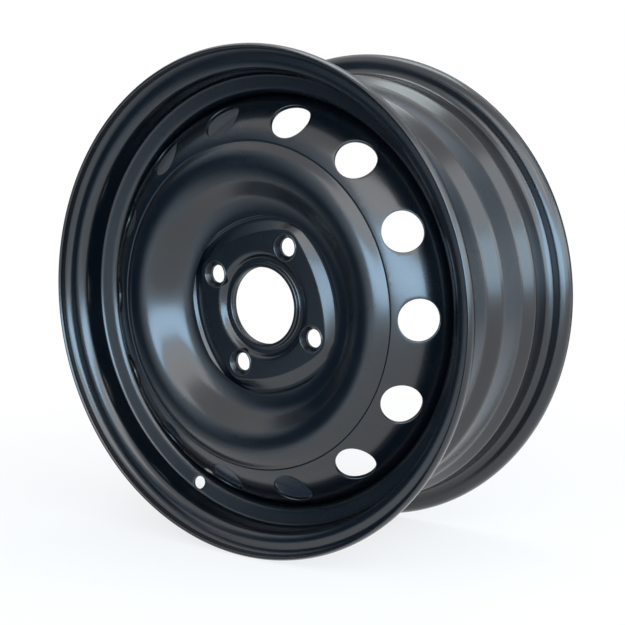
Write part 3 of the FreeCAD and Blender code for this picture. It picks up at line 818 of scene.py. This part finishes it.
def thin_dust():
    """A node group: a thin film of dust in soft patches."""
    group = bpy.data.node_groups.new("Thin dust", "ShaderNodeTree")
    socket(group, "Paint", "NodeSocketColor", "INPUT", (0.0, 0.0, 0.0, 1.0))
    socket(group, "Dust", "NodeSocketColor", "INPUT", (0.2, 0.2, 0.2, 1.0))
    socket(group, "Amount", "NodeSocketFloat", "INPUT", 0.02)
    socket(group, "Color", "NodeSocketColor", "OUTPUT")
    enter = group.nodes.new("NodeGroupInput").outputs
    place = group.nodes.new("ShaderNodeTexCoord").outputs["Object"]
    patches = node(group, "ShaderNodeTexNoise", {"Vector": place, "Scale": 38.0, "Detail": 6.0})
    cover = node(
        group, "ShaderNodeMapRange",
        {"Value": patches.outputs["Fac"], "From Min": 0.42, "From Max": 0.72},
    )
    share = node(
        group, "ShaderNodeMath", {0: cover.outputs["Result"], 1: enter["Amount"]},
        operation="MULTIPLY",
    )
    blend = node(
        group, "ShaderNodeMix",
        {"Factor": share.outputs[0], "A": enter["Paint"], "B": enter["Dust"]},
        data_type="RGBA",
    )
    node(group, "NodeGroupOutput", {"Color": blend.outputs["Result"]})
    return group


def black_paint(look):
    """The black satin-gloss paint of all the wheel's pieces."""
    material = bpy.data.materials.get("Black paint")
    if material:
        return material
    material = bpy.data.materials.new("Black paint")
    material.use_nodes = True
    tree = material.node_tree
    waves = node(
        tree, "ShaderNodeGroup",
        {"Size": look.peel_size, "Roughness": look.roughness, "Swing": look.roughness_swing},
        node_tree=paint_waves(),
    )
    bump = node(
        tree, "ShaderNodeBump", {"Distance": look.peel_height, "Height": waves.outputs["Height"]}
    )
    dust = node(
        tree, "ShaderNodeGroup",
        {"Paint": (*look.base, 1.0), "Dust": (*look.dust, 1.0), "Amount": look.dust_amount},
        node_tree=thin_dust(),
    )
    shader = tree.nodes["Principled BSDF"].inputs
    shader["Coat Weight"].default_value = look.coat
    shader["Coat Roughness"].default_value = look.coat_roughness
    tree.links.new(waves.outputs["Roughness"], shader["Roughness"])
    tree.links.new(bump.outputs["Normal"], shader["Normal"])
    tree.links.new(dust.outputs["Color"], shader["Base Color"])
    return material


def settle(piece, node):
    """Ride the wheel's body and stand for a node, whose imported part is hidden."""
    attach(piece, "root")
    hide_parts(node)


class WHEEL_OT_rim(bpy.types.Operator):
    """Build the rolled rim with its valve hole."""

    bl_idname = "wheel.rim"
    bl_label = "Rim"

    def execute(self, context):
        scene = context.scene
        material = black_paint(scene.wheel_paint)
        settle(make_rim(scene.wheel_rim, scene.wheel_stage.valve_angle, material), "rim")
        return {"FINISHED"}


class WHEEL_OT_disc(bpy.types.Operator):
    """Build the stamped disc with vents, hub mesa and bolt seats."""

    bl_idname = "wheel.disc"
    bl_label = "Disc"

    def execute(self, context):
        scene = context.scene
        material = black_paint(scene.wheel_paint)
        settle(make_disc(scene.wheel_disc, scene.wheel_stage.valve_angle, material), "disc")
        return {"FINISHED"}


class WHEEL_OT_welds(bpy.types.Operator):
    """Build the weld beads behind the disc."""

    bl_idname = "wheel.welds"
    bl_label = "Weld beads"

    def execute(self, context):
        scene = context.scene
        material = black_paint(scene.wheel_paint)
        settle(make_welds(scene.wheel_welds, scene.wheel_disc, material), "weld_beads")
        return {"FINISHED"}


# Name, azimuth and elevation of the middle, half width and half height in degrees,
# brightness and colour of each lamp
LAMPS = (
    ("Front window", 33.0, 8.0, 31.0, 10.5, 6.9, (0.48, 0.74, 1.0)),
    ("Corner window", 82.0, 13.0, 16.0, 12.0, 3.5, (0.55, 0.80, 1.0)),
    ("Right window", 118.0, 16.0, 20.0, 11.0, 1.8, (0.87, 0.94, 1.0)),
    ("Upper front", 30.0, 36.0, 32.0, 14.0, 1.8, (0.96, 0.98, 1.0)),
    ("Upper right", 86.0, 42.0, 24.0, 15.0, 1.4, (0.90, 0.95, 1.0)),
    ("Overhead", -150.0, 77.0, 14.0, 11.0, 2.8, (0.84, 0.95, 1.0)),
)


def toward(azimuth, elevation):
    """Unit direction from the wheel: azimuth from outboard (-Y) towards +X, then upwards."""
    flat = math.cos(math.radians(elevation))
    return Vector((
        flat * math.sin(math.radians(azimuth)),
        -flat * math.cos(math.radians(azimuth)),
        math.sin(math.radians(elevation)),
    ))


def seen_white(tree):
    """A socket that is 1 where the camera, a mirror or glass looks at a shader."""
    path = tree.nodes.new("ShaderNodeLightPath").outputs
    mirror = node(
        tree, "ShaderNodeMath", {0: path["Is Camera Ray"], 1: path["Is Glossy Ray"]},
        operation="MAXIMUM",
    )
    glass = node(
        tree, "ShaderNodeMath", {0: mirror.outputs[0], 1: path["Is Transmission Ray"]},
        operation="MAXIMUM",
    )
    return glass.outputs[0]


def matte(tree, roughness):
    """The main shader of a tree, without gloss, in the stage's pale grey."""
    shader = tree.nodes["Principled BSDF"]
    shader.inputs["Base Color"].default_value = PALE
    shader.inputs["Roughness"].default_value = roughness
    shader.inputs["Specular IOR Level"].default_value = 0.0
    return shader


def pale_floor(look):
    """Floor paint that shows white away from the wheel and keeps the wheel's shadow near it."""
    material = bpy.data.materials.new("Pale floor")
    material.use_nodes = True
    tree = material.node_tree
    shader = matte(tree, 0.9)
    white = tree.nodes.new("ShaderNodeEmission")
    place = tree.nodes.new("ShaderNodeTexCoord").outputs["Object"]
    distance = node(tree, "ShaderNodeVectorMath", {0: place}, operation="LENGTH")
    share = node(
        tree, "ShaderNodeMapRange",
        {
            "Value": distance.outputs["Value"],
            "From Min": 0.15,
            "From Max": 0.75,
            "To Min": 1.0 - look.shadow,
        },
        interpolation_type="SMOOTHSTEP",
    )
    seen = node(
        tree, "ShaderNodeMath", {0: seen_white(tree), 1: share.outputs["Result"]},
        operation="MULTIPLY",
    )
    blend = node(
        tree, "ShaderNodeMixShader",
        {"Fac": seen.outputs[0], 1: shader.outputs[0], 2: white.outputs[0]},
    )
    tree.links.new(blend.outputs[0], tree.nodes["Material Output"].inputs["Surface"])
    return material


def white_studio():
    """World that shows white and lights softly."""
    world = bpy.data.worlds.new("Studio")
    world.use_nodes = True
    tree = world.node_tree
    soft = tree.nodes["Background"]
    soft.inputs["Color"].default_value = (0.8, 0.86, 0.95, 1.0)
    soft.inputs["Strength"].default_value = 0.5
    white = node(tree, "ShaderNodeBackground", {"Color": (1.0, 1.0, 1.0, 1.0)})
    blend = node(
        tree, "ShaderNodeMixShader",
        {"Fac": seen_white(tree), 1: soft.outputs[0], 2: white.outputs[0]},
    )
    tree.links.new(blend.outputs[0], tree.nodes["World Output"].inputs["Surface"])
    return world


def dark_screen(look):
    """A curved dark screen, round the wheel's left and back, that the paint mirrors.

    Around, it follows a part of a circle about the wheel; outwards it lies on the floor
    from its inner edge to its full radius, and from there it stands up. Its shade fades
    to white along a smooth step towards both ends, its inner edge and its top.
    """
    share = np.linspace(0.0, 1.0, SCREEN_COLUMNS)[None, :]
    around = look.screen_start + (look.screen_end - look.screen_start) * share
    level = look.floor_level + look.screen_lift
    # Distance, height and share of white of each row
    rows = np.array([
        (look.screen_inner, level, 0.7),
        (0.55, level, 0.25),
        (1.1, level, 0.0),
        (look.screen_radius, level, 0.0),
        (look.screen_radius, 0.65, 0.0),
        (look.screen_radius, look.screen_height, 0.8),
    ])
    out, up, white = rows.T[:, :, None]
    ramp = np.minimum(share / look.screen_start_fade, (1 - share) / look.screen_end_fade)
    ramp = np.clip(ramp, 0.0, 1.0)
    dark = (1 - white) * ramp ** 2 * (3 - 2 * ramp)
    grid = np.stack([out * np.sin(around), -out * np.cos(around), up + 0 * around], axis=-1)
    mesh = bpy.data.meshes.new("screen")
    faces = grid_faces(len(rows), SCREEN_COLUMNS, False, False)
    mesh.from_pydata(grid.reshape(-1, 3), [], faces.reshape(-1, 4))
    shade = mesh.attributes.new("shade", "FLOAT", "POINT")
    shade.data.foreach_set("value", dark.reshape(-1).astype(np.float32))
    screen = place_object("screen", mesh)
    cloth = bpy.data.materials.new("Dark cloth")
    cloth.use_nodes = True
    tree = cloth.node_tree
    value = node(tree, "ShaderNodeAttribute", {}, attribute_name="shade")
    mix = node(
        tree, "ShaderNodeMix",
        {"Factor": value.outputs["Fac"], "A": PALE, "B": (*look.screen_colour, 1.0)},
        data_type="RGBA",
    )
    tree.links.new(mix.outputs["Result"], matte(tree, 1.0).inputs["Base Color"])
    mesh.materials.append(cloth)
    screen.visible_camera = False
    screen.visible_diffuse = False
    screen.visible_shadow = False


class WHEEL_OT_stage(bpy.types.Operator):
    """Build floor, screen, lamps and camera."""

    bl_idname = "wheel.stage"
    bl_label = "Stage"

    def execute(self, context):
        scene = context.scene
        look = scene.wheel_stage
        scene.view_settings.view_transform = "Standard"
        scene.world = white_studio()

        reach = look.floor_reach
        corners = [(-reach, -reach, 0), (reach, -reach, 0), (reach, reach, 0), (-reach, reach, 0)]
        mesh = bpy.data.meshes.new("floor")
        mesh.from_pydata(corners, [], [(0, 1, 2, 3)])
        mesh.materials.append(pale_floor(look))
        floor = place_object("floor", mesh)
        floor.location.z = look.floor_level
        dark_screen(look)

        for name, azimuth, elevation, half_width, half_height, brightness, tint in LAMPS:
            data = bpy.data.lights.new(name, "AREA")
            data.shape = "RECTANGLE"
            data.size = 2 * look.lamp_distance * math.tan(math.radians(half_width))
            data.size_y = 2 * look.lamp_distance * math.tan(math.radians(half_height))
            data.energy = brightness * LAMP_POWER * data.size * data.size_y
            data.color = tint
            lamp = place_object(name, data)
            direction = toward(azimuth, elevation)
            lamp.location = direction * look.lamp_distance
            lamp.rotation_euler = (-direction).to_track_quat("-Z", "Y").to_euler()

        data = bpy.data.cameras.new("Camera")
        data.lens = look.lens
        data.shift_x, data.shift_y = look.shift
        data.clip_start = 0.01
        camera = place_object("Camera", data)
        camera.location = look.camera_place
        camera.rotation_euler = look.camera_turn
        scene.camera = camera
        return {"FINISHED"}


STEPS = (WHEEL_OT_rim, WHEEL_OT_disc, WHEEL_OT_welds, WHEEL_OT_stage)


class WHEEL_PT_panel(bpy.types.Panel):
    """Lists the steps that build the wheel."""

    bl_idname = "WHEEL_PT_panel"
    bl_label = "Steel Wheel"
    bl_space_type = "VIEW_3D"
    bl_region_type = "UI"
    bl_category = "Wheel"

    def draw(self, context):
        for step in STEPS:
            self.layout.operator(step.bl_idname)


GROUPS = {
    "wheel_rim": RimSizes,
    "wheel_disc": DiscSizes,
    "wheel_welds": WeldSizes,
    "wheel_paint": PaintLook,
    "wheel_stage": StageLook,
}


def register():
    """Register the property groups, operators and panel."""
    for name, group in GROUPS.items():
        bpy.utils.register_class(group)
        setattr(bpy.types.Scene, name, PointerProperty(type=group))
    for item in (*STEPS, WHEEL_PT_panel):
        bpy.utils.register_class(item)


def unregister():
    """Take everything out again, in reverse order."""
    for item in (WHEEL_PT_panel, *reversed(STEPS)):
        bpy.utils.unregister_class(item)
    for name, group in reversed(GROUPS.items()):
        delattr(bpy.types.Scene, name)
        bpy.utils.unregister_class(group)


def main():
    """Register the steps and build everything."""
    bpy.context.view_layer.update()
    register()
    bpy.ops.wheel.rim()
    bpy.ops.wheel.disc()
    bpy.ops.wheel.welds()
    bpy.ops.wheel.stage()
    bpy.context.view_layer.update()


if __name__ == "__main__":
    main()
